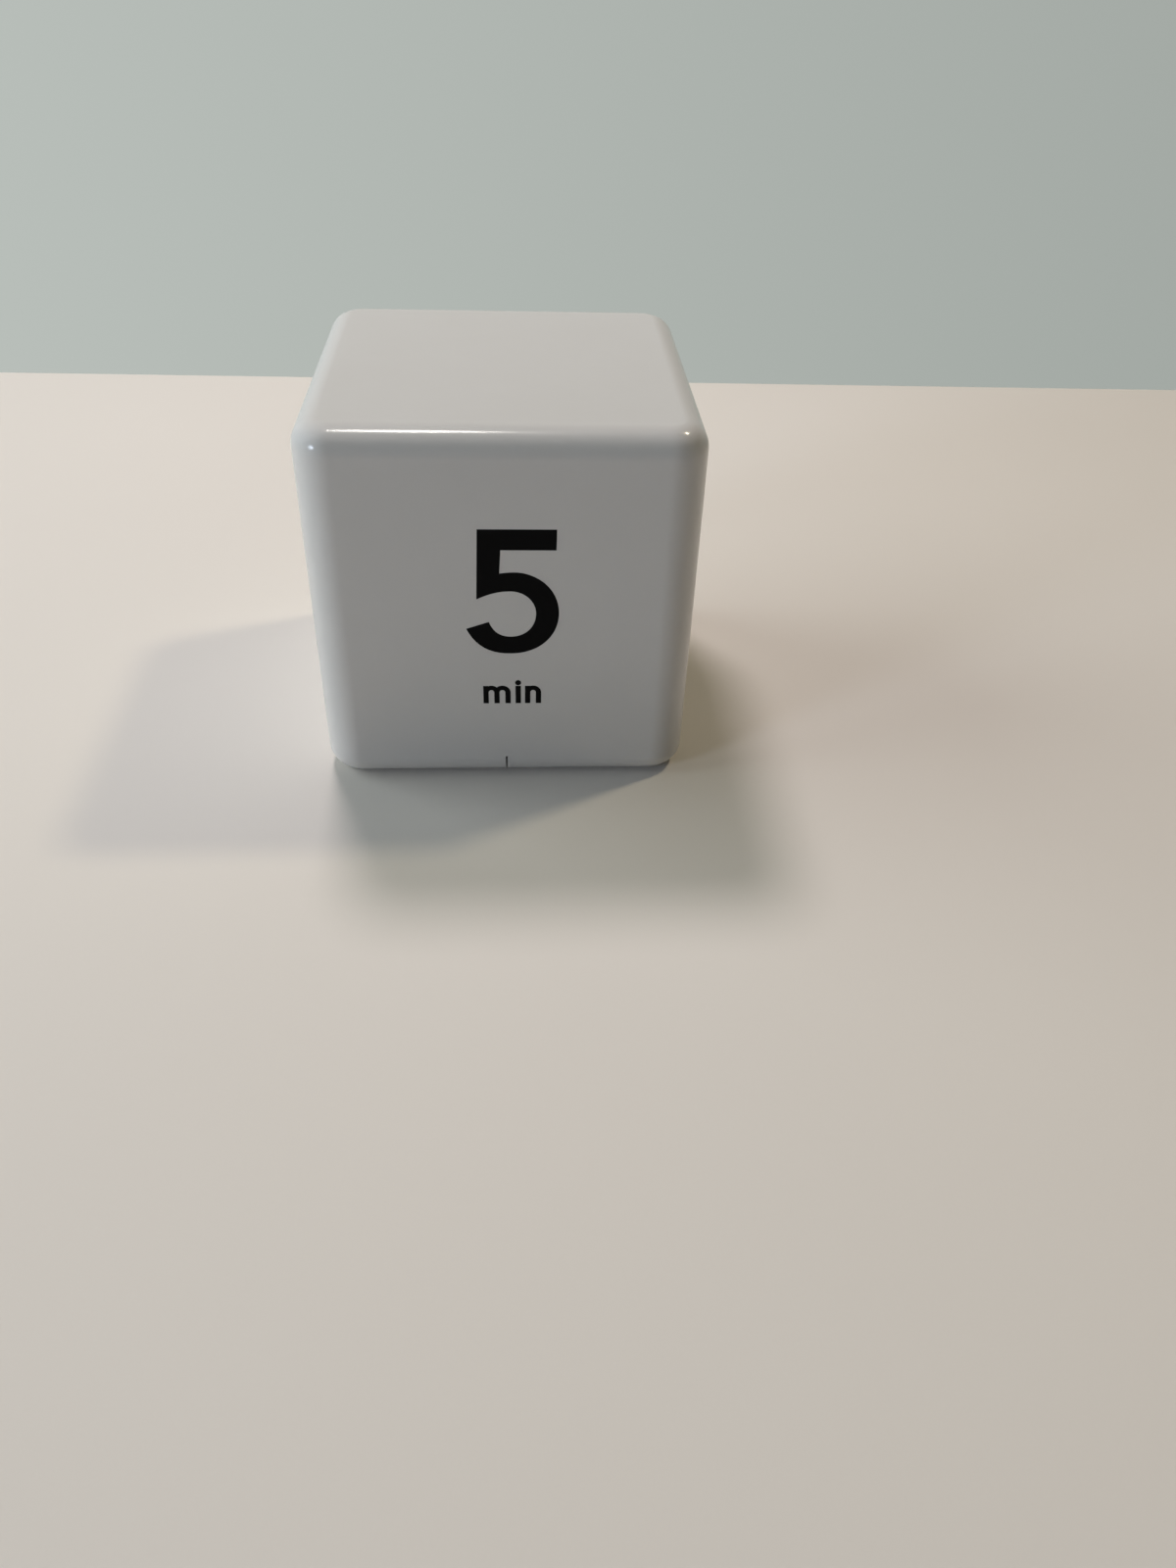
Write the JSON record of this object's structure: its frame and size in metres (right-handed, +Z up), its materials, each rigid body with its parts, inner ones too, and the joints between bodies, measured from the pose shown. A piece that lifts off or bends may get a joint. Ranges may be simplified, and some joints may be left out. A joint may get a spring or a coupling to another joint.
{
  "type": "cube timer",
  "caption": "White plastic cube timer with rounded edges; turned onto a side, it counts down for the side on top; display, switches and battery door underneath.",
  "frame": {"origin": "middle of the face that the cube stands on", "axes": "+Z up, away from the display panel; -Y out of the side marked 5; +X to the right when that side is seen upright"},
  "size_m": [0.0636, 0.0636, 0.0635],
  "materials": {
    "white_plastic": "satin white moulded plastic with a faint texture",
    "window_plastic": "clear polished plastic",
    "lcd_glass": "grey-green display glass",
    "black_plastic": "satin black",
    "contact_rubber": "striped conductive rubber",
    "board_laminate": "green solder mask",
    "nickel": "nickel plated",
    "phenolic": "brown laminate",
    "gold_plate": "gold plated",
    "capacitor_sleeve": "dark blue shrink sleeve",
    "chip_resin": "black resin",
    "battery_wrap": "plain wrap over a steel can",
    "red_insulation": "red insulation",
    "black_insulation": "black insulation"
  },
  "bodies": {
    "case": {"housing": "white_plastic", "display_panel": "white_plastic", "battery_bay": "white_plastic", "display_window": "window_plastic", "lcd_cell": "lcd_glass", "lcd_frame": "black_plastic", "contact_strip": "contact_rubber", "circuit_board": "board_laminate", "board_screw_1": "nickel", "board_screw_2": "nickel", "board_screw_3": "nickel", "board_screw_4": "nickel", "power_switch_frame": "nickel", "power_switch_base": "phenolic", "volume_switch_frame": "nickel", "volume_switch_base": "phenolic", "buzzer": "black_plastic", "capacitor": "capacitor_sleeve", "transistor": "black_plastic", "crystal": "nickel", "chip": "chip_resin", "battery_front": "battery_wrap", "battery_back": "battery_wrap", "positive_contact": "nickel", "negative_contact": "nickel", "contact_bridge": "nickel", "red_battery_lead": "red_insulation", "black_battery_lead": "black_insulation", "right_ball_switch_can": "gold_plate", "right_ball_switch_plug": "black_plastic", "left_ball_switch_can": "gold_plate", "left_ball_switch_plug": "black_plastic", "back_ball_switch_can": "gold_plate", "back_ball_switch_plug": "black_plastic", "front_ball_switch_can": "gold_plate", "front_ball_switch_plug": "black_plastic"},
    "door": {"battery_door": "white_plastic"},
    "power_lever": {"power_switch_lever": "black_plastic"},
    "volume_lever": {"volume_switch_lever": "black_plastic"},
    "right_ball": {"right_ball_switch_ball": "gold_plate"},
    "left_ball": {"left_ball_switch_ball": "gold_plate"},
    "back_ball": {"back_ball_switch_ball": "gold_plate"},
    "front_ball": {"front_ball_switch_ball": "gold_plate"}
  },
  "joints": [
    {"name": "battery_door_hinge", "type": "hinge", "parent": "case", "child": "door", "pos_m": [0, -0.00105, 0.0002], "axis": [-1, 0, 0], "range_deg": [0, 70]},
    {"name": "power_switch_slide", "type": "slide", "parent": "case", "child": "power_lever", "axis": [0, 1, 0], "range_m": [0, 0.0024]},
    {"name": "volume_switch_slide", "type": "slide", "parent": "case", "child": "volume_lever", "axis": [0, 1, 0], "range_m": [0, 0.0024]},
    {"name": "right_ball_roll", "type": "slide", "parent": "case", "child": "right_ball", "axis": [0.9781, 0, 0.2079], "range_m": [0, 0.0027]},
    {"name": "left_ball_roll", "type": "slide", "parent": "case", "child": "left_ball", "axis": [-0.9781, 0, 0.2079], "range_m": [0, 0.0027]},
    {"name": "back_ball_roll", "type": "slide", "parent": "case", "child": "back_ball", "axis": [0, 0.9781, 0.2079], "range_m": [0, 0.0027]},
    {"name": "front_ball_roll", "type": "slide", "parent": "case", "child": "front_ball", "axis": [0, -0.9781, 0.2079], "range_m": [0, 0.0027]}
  ]
}
